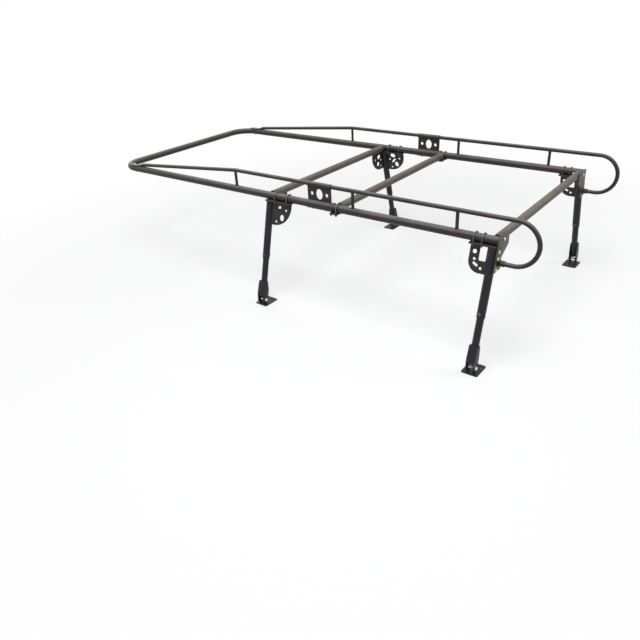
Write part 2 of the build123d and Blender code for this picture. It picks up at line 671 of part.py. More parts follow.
# ---- telescoping legs: an upper tube under each saddle, an inner tube with a slot for the lock
# ---- bolt, a foot bracket on the inner tube, and a base that pivots between its cheeks
lock_bolts = []
for end, (leg_x, way) in ends.items():
    for name, side in sides.items():
        corner = f"{end}_{name}"
        foot = leg_plane(leg_x, side, 0)
        lock = Plane(
            origin=foot.from_local_coords(Vector(0, 0, lock_height)),
            x_dir=(1, 0, 0),
            z_dir=foot.y_dir * side,
        )
        with BuildPart() as upper:
            with BuildSketch(leg_plane(leg_x, side, step_height)):
                Circle(leg_r)
                Circle(leg_r - leg_wall, mode=Mode.SUBTRACT)
            extrude(amount=upper_leg_length + leg_od)
            split(bisect_by=Plane.XY.offset(saddle_z), keep=Keep.BOTTOM)
            add(
                rod(lock.offset(-leg_od), lock_bolt / 2 + hole_clearance, 2 * leg_od),
                mode=Mode.SUBTRACT,
            )
            if end == "rear":
                for y, z in zip(bracket_bolt_y, bracket_bolt_z):
                    axis = Plane(origin=(leg_x, side * y, z), z_dir=(1, 0, 0))
                    add(rod(axis, bracket_bolt / 2 + hole_clearance, leg_od), mode=Mode.SUBTRACT)
        save(upper.part, f"leg_upper_{corner}")
        lock_bolts.append(hex_bolt(lock.offset(leg_r), lock_bolt, leg_od + bolt_tail))
        lock_back = Plane(origin=lock.origin - lock.z_dir * leg_r, z_dir=lock.z_dir * -1)
        lock_bolts.append(hex_nut(lock_back, lock_bolt))

        slot_width = lock_bolt + 2 * slide_gap
        inner_top = lock_height + leg_travel + inner_leg_spare
        with BuildPart() as inner:
            with BuildSketch(leg_plane(leg_x, side, tube_end_height)):
                Circle(inner_leg_r)
                Circle(inner_leg_r - inner_leg_wall, mode=Mode.SUBTRACT)
            extrude(amount=inner_top - tube_end_height)
            with BuildSketch(leg_face(leg_x, side)):
                with Locations((0, lock_height - leg_length + leg_travel / 2)):
                    SlotOverall(leg_travel + slot_width, slot_width, rotation=90)
            extrude(amount=leg_od, both=True, mode=Mode.SUBTRACT)
        save(inner.part, f"leg_inner_{corner}")

        cheek_out = inner_leg_r + foot_cheek
        flare_out = foot_round + foot_flare
        side_view = Plane(origin=foot.origin, x_dir=foot.y_dir * side, z_dir=foot.x_dir * side)
        with BuildPart() as bracket:
            with BuildSketch(side_view):
                with BuildLine():
                    Polyline(
                        (-foot_round, 0),
                        (-foot_round, foot_taper_height),
                        (-foot_top_inset, foot_bracket_height),
                        (cheek_out, foot_bracket_height),
                        (flare_out, foot_flare_height),
                        (foot_round, 0),
                    )
                    ThreePointArc((foot_round, 0), (0, -foot_round), (-foot_round, 0))
                make_face()
            extrude(amount=cheek_out, both=True)
            with BuildSketch(side_view):
                Polygon(
                    (-2 * foot_round, -2 * foot_round),
                    (2 * foot_round, -2 * foot_round),
                    (2 * foot_round, foot_web_start),
                    (flare_out - foot_cheek, foot_web_start),
                    (flare_out - foot_cheek, foot_flare_height),
                    (inner_leg_r, foot_bracket_height),
                    (inner_leg_r, 2 * foot_bracket_height),
                    (-2 * foot_round, 2 * foot_bracket_height),
                    align=None,
                )
            extrude(amount=inner_leg_r, both=True, mode=Mode.SUBTRACT)
            with BuildSketch(side_view):
                Circle(pivot_bolt / 2 + thread_fit)
            extrude(amount=leg_od, both=True, mode=Mode.SUBTRACT)
        save(bracket.part, f"foot_bracket_{corner}")

        head_seat = Plane(origin=foot.origin + Vector(cheek_out, 0, 0), z_dir=(1, 0, 0))
        nut_seat = Plane(origin=foot.origin - Vector(cheek_out, 0, 0), z_dir=(-1, 0, 0))
        pivot_bolt_set = [
            hex_bolt(head_seat, pivot_bolt, 2 * cheek_out + bolt_tail),
            hex_nut(nut_seat, pivot_bolt),
        ]
        save(Compound(pivot_bolt_set), f"foot_bolt_{corner}")

        ear_out = inner_leg_r - ear_gap
        foot_y = side * leg_foot_y
        with BuildPart() as base:
            with BuildSketch(Plane.XY):
                with Locations((leg_x, foot_y + side * (base_outboard - base_inboard) / 2)):
                    RectangleRounded(base_length, base_outboard + base_inboard, base_corner)
                hole_y = foot_y - side * base_hole_inboard
                with Locations((leg_x, hole_y)):
                    with GridLocations(base_hole_spacing, 0, 2, 1):
                        Circle(base_hole / 2, mode=Mode.SUBTRACT)
            extrude(amount=base_thickness)
            for ear_x in (leg_x - ear_out, leg_x + ear_out - ear_thickness):
                with BuildSketch(across(ear_x)):
                    with Locations((foot_y, pivot_height / 2)):
                        Rectangle(2 * ear_round, pivot_height)
                    with Locations((foot_y, pivot_height)):
                        Circle(ear_round)
                        Circle(pivot_bolt / 2 + pivot_fit, mode=Mode.SUBTRACT)
                extrude(amount=ear_thickness)
        save(base.part, f"foot_base_{corner}")
save(Compound(lock_bolts), "leg_lock_bolts")

# ---- middle crossbar: clamped under the side rails by U-bolts, slides along them when loosened
clamp_top = saddle_top - mid_bar_gap
clamp_z = clamp_top - plate_thickness
mid_ubolt_r = rail_r + mid_bar_gap + ubolt_rod
mid_bar_end = rail_y - mid_ubolt_r - clamp_margin
with BuildPart() as crossbar_middle:
    with BuildSketch(Plane(origin=(mid_x, -mid_bar_end, clamp_top + bar_r), z_dir=(0, 1, 0))):
        Circle(bar_r)
        Circle(bar_r - bar_wall, mode=Mode.SUBTRACT)
    extrude(amount=2 * mid_bar_end)
save(crossbar_middle.part, "crossbar_middle")

clamp_plates = []
mid_ubolts = []
mid_ubolt_nuts = []
for side in sides.values():
    plate_in = mid_bar_end - clamp_overlap
    plate_out = rail_y + mid_ubolt_r + clamp_margin
    bolt_x = [mid_x - mid_ubolt_offset, mid_x + mid_ubolt_offset]
    hole_y = mid_ubolt_r - ubolt_rod / 2
    with BuildPart() as clamp:
        with BuildSketch(Plane.XY.offset(clamp_z)):
            with Locations((mid_x, side * (plate_in + plate_out) / 2)):
                RectangleRounded(clamp_length, plate_out - plate_in, saddle_corner)
            with Locations([(x, side * rail_y + s * hole_y) for x in bolt_x for s in (-1, 1)]):
                Circle(ubolt_rod / 2 + hole_clearance, mode=Mode.SUBTRACT)
        extrude(amount=plate_thickness)
    clamp_plates.append(clamp.part)
    for x in bolt_x:
        mid_ubolts.append(u_bolt(x, side, mid_bar_gap, clamp_z - ubolt_tail))
        mid_ubolt_nuts += u_bolt_nuts(x, side, mid_bar_gap, clamp_z)
save(Compound(clamp_plates), "mid_clamp_plates")
save(Compound(mid_ubolts), "mid_ubolts")
save(Compound(mid_ubolt_nuts), "mid_ubolt_nuts")
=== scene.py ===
import bpy
import bmesh
import json
from math import atan2, cos, pi, radians, sin
from mathutils import Matrix, Vector

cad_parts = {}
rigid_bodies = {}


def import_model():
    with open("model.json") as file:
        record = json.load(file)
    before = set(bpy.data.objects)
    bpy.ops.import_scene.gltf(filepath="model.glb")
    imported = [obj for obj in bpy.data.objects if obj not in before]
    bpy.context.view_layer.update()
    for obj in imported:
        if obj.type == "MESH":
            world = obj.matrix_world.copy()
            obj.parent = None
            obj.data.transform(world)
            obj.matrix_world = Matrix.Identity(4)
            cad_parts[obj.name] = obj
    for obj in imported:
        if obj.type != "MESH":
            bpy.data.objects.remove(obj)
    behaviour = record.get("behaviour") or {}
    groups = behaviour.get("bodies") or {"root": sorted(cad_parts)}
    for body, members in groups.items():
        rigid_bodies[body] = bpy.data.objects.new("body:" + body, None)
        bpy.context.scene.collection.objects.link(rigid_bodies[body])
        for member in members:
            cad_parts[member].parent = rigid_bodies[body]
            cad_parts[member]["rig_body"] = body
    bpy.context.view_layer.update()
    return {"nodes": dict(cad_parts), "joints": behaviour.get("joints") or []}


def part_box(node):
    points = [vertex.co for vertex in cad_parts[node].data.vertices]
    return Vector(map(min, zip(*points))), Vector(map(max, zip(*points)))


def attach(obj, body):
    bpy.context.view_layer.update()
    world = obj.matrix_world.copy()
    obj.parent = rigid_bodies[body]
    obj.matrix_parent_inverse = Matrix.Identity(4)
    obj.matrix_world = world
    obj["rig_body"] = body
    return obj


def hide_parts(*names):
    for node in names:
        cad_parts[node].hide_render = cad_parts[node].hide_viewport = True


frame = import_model()


# ---- studio
# A pale floor under the four feet and an even pale surround, lit by one large soft lamp high on
# the driver's side, a weaker one ahead of the rack, and the surround itself.
camera_place = (2.5946, -3.5736, 1.9808)
camera_azimuth = 39.117
camera_elevation = 29.419
camera_roll = -3.417
camera_lens = 34.36

camera = bpy.data.objects.new("camera", bpy.data.cameras.new("camera"))
camera.data.lens = camera_lens
camera.data.sensor_width = 36.0
camera.data.clip_end = 100.0
turn = Matrix.Rotation(radians(camera_azimuth), 4, "Z")
tilt = Matrix.Rotation(radians(90.0 - camera_elevation), 4, "X")
roll = Matrix.Rotation(radians(camera_roll), 4, "Z")
camera.matrix_world = Matrix.Translation(camera_place) @ turn @ tilt @ roll
bpy.context.collection.objects.link(camera)
bpy.context.scene.camera = camera
bpy.context.scene.view_settings.view_transform = "Standard"

lamp_target = Vector((0.0, 0.0, 0.5))
for lamp_name, place, size, power in (
    ("key_lamp", (1.2, -2.2, 5.4), 3.2, 230.0),
    ("front_lamp", (-4.6, 1.2, 3.8), 2.8, 70.0),
    ("tail_lamp", (4.8, 2.2, 3.0), 2.4, 55.0),
):
    lamp = bpy.data.objects.new(lamp_name, bpy.data.lights.new(lamp_name, "AREA"))
    lamp.data.shape = "DISK"
    lamp.data.size = size
    lamp.data.energy = power
    lamp.location = place
    lamp.rotation_euler = (Vector(place) - lamp_target).to_track_quat("Z", "Y").to_euler()
    bpy.context.collection.objects.link(lamp)

world = bpy.data.worlds.new("surround")
world.use_nodes = True
bpy.context.scene.world = world
nodes = world.node_tree.nodes
links = world.node_tree.links
nodes.clear()
rays = nodes.new("ShaderNodeLightPath")
seen = nodes.new("ShaderNodeMath")
seen.operation = "MAXIMUM"
seen_through = nodes.new("ShaderNodeMath")
seen_through.operation = "MAXIMUM"
even_light = nodes.new("ShaderNodeBackground")
even_light.inputs["Color"].default_value = (0.95, 0.97, 1.0, 1.0)
even_light.inputs["Strength"].default_value = 0.34
white = nodes.new("ShaderNodeBackground")
white.inputs["Color"].default_value = (1.0, 1.0, 1.0, 1.0)
white.inputs["Strength"].default_value = 1.0
choose = nodes.new("ShaderNodeMixShader")
surround = nodes.new("ShaderNodeOutputWorld")
links.new(rays.outputs["Is Camera Ray"], seen.inputs[0])
links.new(rays.outputs["Is Glossy Ray"], seen.inputs[1])
links.new(seen.outputs[0], seen_through.inputs[0])
links.new(rays.outputs["Is Transmission Ray"], seen_through.inputs[1])
links.new(seen_through.outputs[0], choose.inputs["Fac"])
links.new(even_light.outputs[0], choose.inputs[1])
links.new(white.outputs[0], choose.inputs[2])
links.new(choose.outputs[0], surround.inputs["Surface"])

floor_mesh = bpy.data.meshes.new("floor")
reach = 40.0
floor_z = -0.001
floor_mesh.from_pydata(
    [(x * reach, y * reach, floor_z) for x, y in ((-1, -1), (1, -1), (1, 1), (-1, 1))],
    [], [(0, 1, 2, 3)],
)
floor = bpy.data.objects.new("floor", floor_mesh)
bpy.context.collection.objects.link(floor)
pale = bpy.data.materials.new("pale_floor")
pale.use_nodes = True
shader = pale.node_tree.nodes["Principled BSDF"]
shader.inputs["Base Color"].default_value = (0.9, 0.9, 0.9, 1.0)
shader.inputs["Roughness"].default_value = 0.9
shader.inputs["Specular IOR Level"].default_value = 0.1
nodes = pale.node_tree.nodes
links = pale.node_tree.links
rays = nodes.new("ShaderNodeLightPath")
seen = nodes.new("ShaderNodeMath")
seen.operation = "MAXIMUM"
links.new(rays.outputs["Is Camera Ray"], seen.inputs[0])
links.new(rays.outputs["Is Glossy Ray"], seen.inputs[1])
spot = nodes.new("ShaderNodeTexCoord")
away = nodes.new("ShaderNodeVectorMath")
away.operation = "LENGTH"
links.new(spot.outputs["Object"], away.inputs[0])
fade = nodes.new("ShaderNodeMapRange")
fade.interpolation_type = "SMOOTHSTEP"
fade.inputs["From Min"].default_value = 1.2
fade.inputs["From Max"].default_value = 4.0
fade.inputs["To Min"].default_value = 0.45
links.new(away.outputs["Value"], fade.inputs["Value"])
shown = nodes.new("ShaderNodeMath")
shown.operation = "MULTIPLY"
links.new(fade.outputs["Result"], shown.inputs[0])
links.new(seen.outputs[0], shown.inputs[1])
plain = nodes.new("ShaderNodeEmission")
plain.inputs["Strength"].default_value = 1.0
blend = nodes.new("ShaderNodeMixShader")
links.new(shown.outputs[0], blend.inputs["Fac"])
links.new(shader.outputs[0], blend.inputs[1])
links.new(plain.outputs[0], blend.inputs[2])
links.new(blend.outputs[0], nodes["Material Output"].inputs["Surface"])
floor_mesh.materials.append(pale)


# ---- front hoop and rear side rails
# Steel pipe, 48.3 mm, bent to one long hoop ahead of the splice and cut straight behind it. Sprayed
# with satin black powder and baked, with road dust and a painted highlight along the top where
# ladders rest.
def powder_coat(name, colour, dust_and_highlight_colour, dust_and_highlight_amount, roughness, scuff):
    """Satin powder coat: fine orange peel, uneven gloss, dust and a painted highlight on what faces
    up, and rub marks.
    """
    coat = bpy.data.materials.new(name)
    coat.use_nodes = True
    nodes = coat.node_tree.nodes
    links = coat.node_tree.links
    shader = nodes["Principled BSDF"]
    shader.inputs["Specular IOR Level"].default_value = 0.32
    place = nodes.new("ShaderNodeTexCoord")
    way = nodes.new("ShaderNodeNewGeometry")
    facing = nodes.new("ShaderNodeSeparateXYZ")
    links.new(way.outputs["Normal"], facing.inputs[0])

    cloud = nodes.new("ShaderNodeTexNoise")
    cloud.inputs["Scale"].default_value = 9.0
    cloud.inputs["Detail"].default_value = 7.0
    cloud.inputs["Roughness"].default_value = 0.62
    links.new(place.outputs["Object"], cloud.inputs["Vector"])
    speckle = nodes.new("ShaderNodeTexNoise")
    speckle.inputs["Scale"].default_value = 260.0
    speckle.inputs["Detail"].default_value = 3.0
    links.new(place.outputs["Object"], speckle.inputs["Vector"])

    shade = nodes.new("ShaderNodeValToRGB")
    shade.color_ramp.elements[0].position = 0.3
    shade.color_ramp.elements[0].color = (*[c * 0.72 for c in colour], 1.0)
    shade.color_ramp.elements[1].position = 0.72
    shade.color_ramp.elements[1].color = (*[c * 1.35 for c in colour], 1.0)
    links.new(cloud.outputs["Fac"], shade.inputs["Fac"])

    # What faces up is lightened towards the dust colour: partly dust, partly a painted highlight
    # from the lamp above.
    up = nodes.new("ShaderNodeMapRange")
    up.interpolation_type = "SMOOTHSTEP"
    up.inputs["From Min"].default_value = 0.15
    up.inputs["From Max"].default_value = 1.0
    up.inputs["To Max"].default_value = dust_and_highlight_amount
    links.new(facing.outputs["Z"], up.inputs["Value"])
    patches = nodes.new("ShaderNodeMapRange")
    patches.inputs["From Min"].default_value = 0.3
    patches.inputs["From Max"].default_value = 0.7
    patches.inputs["To Min"].default_value = 0.55
    patches.inputs["To Max"].default_value = 1.0
    links.new(cloud.outputs["Fac"], patches.inputs["Value"])
    grains = nodes.new("ShaderNodeMapRange")
    grains.inputs["From Min"].default_value = 0.35
    grains.inputs["From Max"].default_value = 0.65
    grains.inputs["To Min"].default_value = 0.7
    grains.inputs["To Max"].default_value = 1.1
    links.new(speckle.outputs["Fac"], grains.inputs["Value"])
    settled_dust_and_highlight = nodes.new("ShaderNodeMath")
    settled_dust_and_highlight.operation = "MULTIPLY"
    links.new(up.outputs["Result"], settled_dust_and_highlight.inputs[0])
    links.new(patches.outputs["Result"], settled_dust_and_highlight.inputs[1])
    dust_and_highlight_mask = nodes.new("ShaderNodeMath")
    dust_and_highlight_mask.operation = "MULTIPLY"
    dust_and_highlight_mask.use_clamp = True
    links.new(settled_dust_and_highlight.outputs[0], dust_and_highlight_mask.inputs[0])
    links.new(grains.outputs["Result"], dust_and_highlight_mask.inputs[1])
    dust_and_highlight_mix = nodes.new("ShaderNodeMix")
    dust_and_highlight_mix.data_type = "RGBA"
    dust_and_highlight_mix.inputs[7].default_value = (*dust_and_highlight_colour, 1.0)
    links.new(dust_and_highlight_mask.outputs[0], dust_and_highlight_mix.inputs[0])
    links.new(shade.outputs["Color"], dust_and_highlight_mix.inputs[6])

    stretch = nodes.new("ShaderNodeMapping")
    stretch.inputs["Scale"].default_value = (7.0, 2.0, 5.0)
    links.new(place.outputs["Object"], stretch.inputs["Vector"])
    rubs = nodes.new("ShaderNodeTexNoise")
    rubs.inputs["Scale"].default_value = 11.0
    rubs.inputs["Detail"].default_value = 9.0
    rubs.inputs["Roughness"].default_value = 0.74
    links.new(stretch.outputs["Vector"], rubs.inputs["Vector"])
    rubbed = nodes.new("ShaderNodeMapRange")
    rubbed.inputs["From Min"].default_value = 0.66
    rubbed.inputs["From Max"].default_value = 0.74
    rubbed.inputs["To Max"].default_value = scuff
    links.new(rubs.outputs["Fac"], rubbed.inputs["Value"])
    worn = nodes.new("ShaderNodeMix")
    worn.data_type = "RGBA"
    worn.inputs[7].default_value = (0.19, 0.18, 0.17, 1.0)
    links.new(rubbed.outputs["Result"], worn.inputs[0])
    links.new(dust_and_highlight_mix.outputs[2], worn.inputs[6])
    links.new(worn.outputs[2], shader.inputs["Base Color"])

    gloss = nodes.new("ShaderNodeMapRange")
    gloss.inputs["From Min"].default_value = 0.3
    gloss.inputs["From Max"].default_value = 0.7
    gloss.inputs["To Min"].default_value = roughness - 0.07
    gloss.inputs["To Max"].default_value = roughness + 0.1
    links.new(cloud.outputs["Fac"], gloss.inputs["Value"])
    dull = nodes.new("ShaderNodeMath")
    dull.operation = "MULTIPLY_ADD"
    dull.use_clamp = True
    dull.inputs[1].default_value = 0.3
    links.new(dust_and_highlight_mask.outputs[0], dull.inputs[0])
    links.new(gloss.outputs["Result"], dull.inputs[2])
    links.new(dull.outputs[0], shader.inputs["Roughness"])

    peel = nodes.new("ShaderNodeTexNoise")
    peel.inputs["Scale"].default_value = 620.0
    peel.inputs["Detail"].default_value = 2.0
    links.new(place.outputs["Object"], peel.inputs["Vector"])
    relief = nodes.new("ShaderNodeBump")
    relief.inputs["Strength"].default_value = 0.35
    relief.inputs["Distance"].default_value = 0.0004
    links.new(peel.outputs["Fac"], relief.inputs["Height"])
    links.new(relief.outputs["Normal"], shader.inputs["Normal"])
    return coat


def finish_node(node, material):
    """Puts a finish on a model part that is shown as it is."""
    mesh = frame["nodes"][node].data
    mesh.materials.clear()
    mesh.materials.append(material)
    for face in mesh.polygons:
        face.material_index = 0


# The pale warm grey along the tops of the rails is partly dust and partly a painted highlight.
rail_coat = powder_coat("rail_coat", (0.015, 0.0135, 0.013), (0.30, 0.265, 0.235), 0.6, 0.4, 0.35)
for node in ("front_hoop", "rear_rail_left", "rear_rail_right"):
    finish_node(node, rail_coat)


# ---- weld beads of the posts
# Where two steel pieces meet they are joined by a MIG bead, a row of overlapping ripples laid along
# the joint before the powder coat goes on. These run round both ends of the guard posts.
def bead_maker():
    """A tree that lays weld ripples along the edges that it is given."""
    tree = bpy.data.node_groups.new("lay_bead", "GeometryNodeTree")
    tree.interface.new_socket("Geometry", in_out="INPUT", socket_type="NodeSocketGeometry")
    for label, value in (("Ripple Step", 0.0021), ("Bead Width", 0.0052), ("Bead Height", 0.0034)):
        size = tree.interface.new_socket(label, in_out="INPUT", socket_type="NodeSocketFloat")
        size.default_value = value
    tree.interface.new_socket("Coat", in_out="INPUT", socket_type="NodeSocketMaterial")
    tree.interface.new_socket("Geometry", in_out="OUTPUT", socket_type="NodeSocketGeometry")
    nodes = tree.nodes
    links = tree.links
    given = nodes.new("NodeGroupInput")
    made = nodes.new("NodeGroupOutput")
    path = nodes.new("GeometryNodeMeshToCurve")
    steps = nodes.new("GeometryNodeResampleCurve")
    steps.mode = "LENGTH"
    ripple = nodes.new("GeometryNodeMeshUVSphere")
    ripple.inputs["Segments"].default_value = 8
    ripple.inputs["Rings"].default_value = 5
    ripple.inputs["Radius"].default_value = 0.5
    along = nodes.new("GeometryNodeInputTangent")
    aim = nodes.new("FunctionNodeAlignEulerToVector")
    aim.axis = "X"
    size = nodes.new("ShaderNodeCombineXYZ")
    longer = nodes.new("ShaderNodeMath")
    longer.operation = "MULTIPLY"
    longer.inputs[1].default_value = 1.9
    uneven = nodes.new("FunctionNodeRandomValue")
    uneven.data_type = "FLOAT"
    uneven.inputs["Min"].default_value = 0.86
    uneven.inputs["Max"].default_value = 1.12
    uneven.inputs["Seed"].default_value = 11
    scaled = nodes.new("ShaderNodeVectorMath")
    scaled.operation = "SCALE"
    place = nodes.new("GeometryNodeInstanceOnPoints")
    real = nodes.new("GeometryNodeRealizeInstances")
    smooth = nodes.new("GeometryNodeSetShadeSmooth")
    coat = nodes.new("GeometryNodeSetMaterial")
    links.new(given.outputs["Geometry"], path.inputs["Mesh"])
    links.new(path.outputs["Curve"], steps.inputs["Curve"])
    links.new(given.outputs["Ripple Step"], steps.inputs["Length"])
    links.new(steps.outputs["Curve"], place.inputs["Points"])
    links.new(ripple.outputs["Mesh"], place.inputs["Instance"])
    links.new(along.outputs["Tangent"], aim.inputs["Vector"])
    links.new(aim.outputs["Rotation"], place.inputs["Rotation"])
    links.new(given.outputs["Ripple Step"], longer.inputs[0])
    links.new(longer.outputs[0], size.inputs["X"])
    links.new(given.outputs["Bead Width"], size.inputs["Y"])
    links.new(given.outputs["Bead Height"], size.inputs["Z"])
    links.new(size.outputs[0], scaled.inputs[0])
    links.new(uneven.outputs["Value"], scaled.inputs["Scale"])
    links.new(scaled.outputs[0], place.inputs["Scale"])
    links.new(place.outputs["Instances"], real.inputs["Geometry"])
    links.new(real.outputs["Geometry"], smooth.inputs["Geometry"])
    links.new(smooth.outputs["Geometry"], coat.inputs["Geometry"])
    links.new(given.outputs["Coat"], coat.inputs["Material"])
    links.new(coat.outputs["Geometry"], made.inputs["Geometry"])
    return tree


def run_tree(name, tree, points, edges, settings, body):
    """Runs a tree over points and edges, and keeps the result as a plain piece on its body."""
    seed_mesh = bpy.data.meshes.new(name + "_path")
    seed_mesh.from_pydata([tuple(p) for p in points], edges, [])
    seed = bpy.data.objects.new(name + "_path", seed_mesh)
    bpy.context.collection.objects.link(seed)
    step = seed.modifiers.new("tree", "NODES")
    step.node_group = tree
    for socket in tree.interface.items_tree:
        if socket.in_out == "INPUT" and socket.name in settings:
            step[socket.identifier] = settings[socket.name]
    shape = seed.evaluated_get(bpy.context.evaluated_depsgraph_get())
    mesh = bpy.data.meshes.new_from_object(shape)
    mesh.name = name
    bpy.data.objects.remove(seed)
    piece = bpy.data.objects.new(name, mesh)
    bpy.context.collection.objects.link(piece)
    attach(piece, body)
    return piece


def chain(rings):
    """Points and edges of several separate paths, for the tree."""
    points = []
    edges = []
    for ring in rings:
        first = len(points)
        points += ring
        edges += [(i, i + 1) for i in range(first, len(points) - 1)]
    return points, edges


def islands(node):
    """The box of each separate solid in a model part, as (lowest corner, highest corner)."""
    work = bmesh.new()
    work.from_mesh(frame["nodes"][node].data)
    bmesh.ops.remove_doubles(work, verts=work.verts, dist=0.00001)
    todo = set(work.verts)
    boxes = []
    while todo:
        near = [todo.pop()]
        found = list(near)
        while near:
            corner = near.pop()
            for edge in corner.link_edges:
                other = edge.other_vert(corner)
                if other in todo:
                    todo.remove(other)
                    near.append(other)
                    found.append(other)
        low = Vector([min(v.co[i] for v in found) for i in range(3)])
        high = Vector([max(v.co[i] for v in found) for i in range(3)])
        boxes.append((low, high))
    work.free()
    return sorted(boxes, key=lambda b: tuple(round(c, 4) for c in b[0]))


bead_tree = bead_maker()
rail_radius = 0.02415
guard_radius = 0.0127
post_radius = 0.0095
rail_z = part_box("rear_rail_left")[1].z - rail_radius
guard_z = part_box("guard_rail_rear_left")[1].z - guard_radius
bead_coat = powder_coat("bead_coat", (0.018, 0.016, 0.015), (0.16, 0.14, 0.12), 0.35, 0.38, 0.2)
post_weld_out = 0.0006
post_rings = []
for low, high in islands("guard_posts"):
    middle = (low + high) / 2
    for end in (-1, 1):
        radius = rail_radius if end < 0 else guard_radius
        axis_z = rail_z if end < 0 else guard_z
        ring = []
        for i in range(33):
            angle = 2 * pi * i / 32
            out = post_radius + post_weld_out
            rise = (radius ** 2 - (out * sin(angle)) ** 2) ** 0.5
            height = axis_z + rise if end < 0 else axis_z - rise
            ring.append(Vector((middle.x + out * cos(angle), middle.y + out * sin(angle), height)))
        post_rings.append(ring)
points, edges = chain(post_rings)
run_tree("post_welds", bead_tree, points, edges, {"Coat": bead_coat}, "rack_frame")
for node in ("guard_posts", "guard_rail_front_left", "guard_rail_front_right",
             "guard_rail_rear_left", "guard_rail_rear_right", "rail_sleeves", "guard_sleeves"):
    finish_node(node, rail_coat)


# ---- splice plates
# A 5 mm plate between the two sleeves of each splice, with one big oval window and two round
# holes. Cut from sheet, edges broken by hand, welded to both sleeves along both faces.
def soften(node, name, edge, material):
    """A copy of a model part with its sharp edges broken, which stands in its place."""
    body = frame["nodes"][node]["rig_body"]
    work = bmesh.new()
    work.from_mesh(frame["nodes"][node].data)
    bmesh.ops.remove_doubles(work, verts=work.verts, dist=0.00001)
    bmesh.ops.dissolve_limit(work, angle_limit=radians(0.6), verts=work.verts, edges=work.edges)
    mesh = bpy.data.meshes.new(name)
    work.to_mesh(mesh)
    work.free()
    mesh.materials.append(material)
    for face in mesh.polygons:
        face.use_smooth = True
        face.material_index = 0
    rough = bpy.data.objects.new(name + "_rough", mesh)
    bpy.context.collection.objects.link(rough)
    broken = rough.modifiers.new("broken edge", "BEVEL")
    broken.width = edge
    broken.segments = 2
    broken.limit_method = "ANGLE"
    broken.angle_limit = radians(38)
    broken.use_clamp_overlap = False
    broken.harden_normals = False
    shape = rough.evaluated_get(bpy.context.evaluated_depsgraph_get())
    finished = bpy.data.meshes.new_from_object(shape)
    bpy.data.objects.remove(rough)
    finished.name = name
    work = bmesh.new()
    work.from_mesh(finished)
    bmesh.ops.triangulate(work, faces=[f for f in work.faces if len(f.verts) > 4])
    for line in work.edges:
        if len(line.link_faces) == 2 and line.calc_face_angle(0) > radians(28):
            line.smooth = False
    work.to_mesh(finished)
    work.free()
    piece = bpy.data.objects.new(name, finished)
    bpy.context.collection.objects.link(piece)
    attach(piece, body)
    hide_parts(node)
    return piece


plate_coat = powder_coat("plate_coat", (0.014, 0.0125, 0.0125), (0.16, 0.14, 0.12), 0.4, 0.42, 0.4)
splice_plate_half = 0.0025
splice_weld_out = 0.0008
splice_weld_short = 0.004
splice_weld_in = 0.0004
splice_lines = []
for side_name in ("left", "right"):
    node = "splice_plate_" + side_name
    soften(node, node + "_finished", 0.0006, plate_coat)
    low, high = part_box(node)
    middle = (low + high) / 2
    for face in (-1, 1):
        y = middle.y + face * (splice_plate_half + splice_weld_out)
        for z in (low.z + splice_weld_in, high.z - splice_weld_in):
            splice_lines.append([Vector((low.x + splice_weld_short, y, z)),
                                 Vector((high.x - splice_weld_short, y, z))])
points, edges = chain(splice_lines)
run_tree("splice_welds", bead_tree, points, edges, {"Coat": bead_coat}, "rack_frame")


# ---- saddles, side gussets and cross gussets
# Laser-cut steel, 6 mm for the saddle on each leg and 5 mm for the lightened gussets under it.
# Edges are broken with a file, then all is welded to the leg and coated with it.
gusset_half = 0.0025
gusset_weld_out = 0.0009
weld_sink = 0.0006
leg_radius = 0.02415
leg_splay = 0.170
leg_drop = 0.66485
leg_lean = atan2(leg_splay, leg_drop)
leg_head_y = 0.700
leg_coat = powder_coat("leg_coat", (0.006, 0.006, 0.0095), (0.06, 0.058, 0.06), 0.2, 0.4, 0.25)
for end in ("front", "rear"):
    for side_name in ("left", "right"):
        node = "side_gusset_" + end + "_" + side_name
        soften(node, node + "_finished", 0.0005, plate_coat)
for side_name in ("left", "right"):
    node = "cross_gusset_front_" + side_name
    soften(node, node + "_finished", 0.0005, plate_coat)
soften("saddle_plates", "saddle_plates_finished", 0.0007, plate_coat)

head_lines = []
saddle_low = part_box("saddle_plates")[0]
front_leg_x = (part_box("crossbar_front")[0].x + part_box("crossbar_front")[1].x) / 2
rear_leg_x = (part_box("crossbar_rear")[0].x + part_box("crossbar_rear")[1].x) / 2
for end, leg_x, way in (("front", front_leg_x, 1), ("rear", rear_leg_x, -1)):
    for side_name, side in (("left", -1), ("right", 1)):
        low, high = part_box("side_gusset_" + end + "_" + side_name)
        head = Vector((leg_x, side * leg_head_y, saddle_low.z))
        down = Vector((0.0, side * sin(leg_lean), -cos(leg_lean)))
        out = Vector((0.0, side * cos(leg_lean), sin(leg_lean)))
        reach = high.x - low.x
        depth = (high.z - low.z) / cos(leg_lean) - 0.006
        for face in (-1, 1):
            gap = out * face * (gusset_half + gusset_weld_out)
            near = head + Vector((way * (leg_radius + 0.004), 0.0, -weld_sink)) + gap
            head_lines.append([near, near + Vector((way * (reach - 0.008), 0.0, 0.0))])
            start = head + Vector((way * (leg_radius + 0.0003), 0.0, 0.0)) + gap + down * 0.006
            head_lines.append([start, start + down * depth])
        ring = []
        for i in range(49):
            angle = 2 * pi * i / 48
            spread = leg_radius + 0.0008
            ring.append(head + Vector((
                spread * cos(angle), spread * sin(angle) / cos(leg_lean), -weld_sink)))
        head_lines.append(ring)
points, edges = chain(head_lines)
run_tree("leg_head_welds", bead_tree, points, edges,
         {"Coat": bead_coat}, "rack_frame")

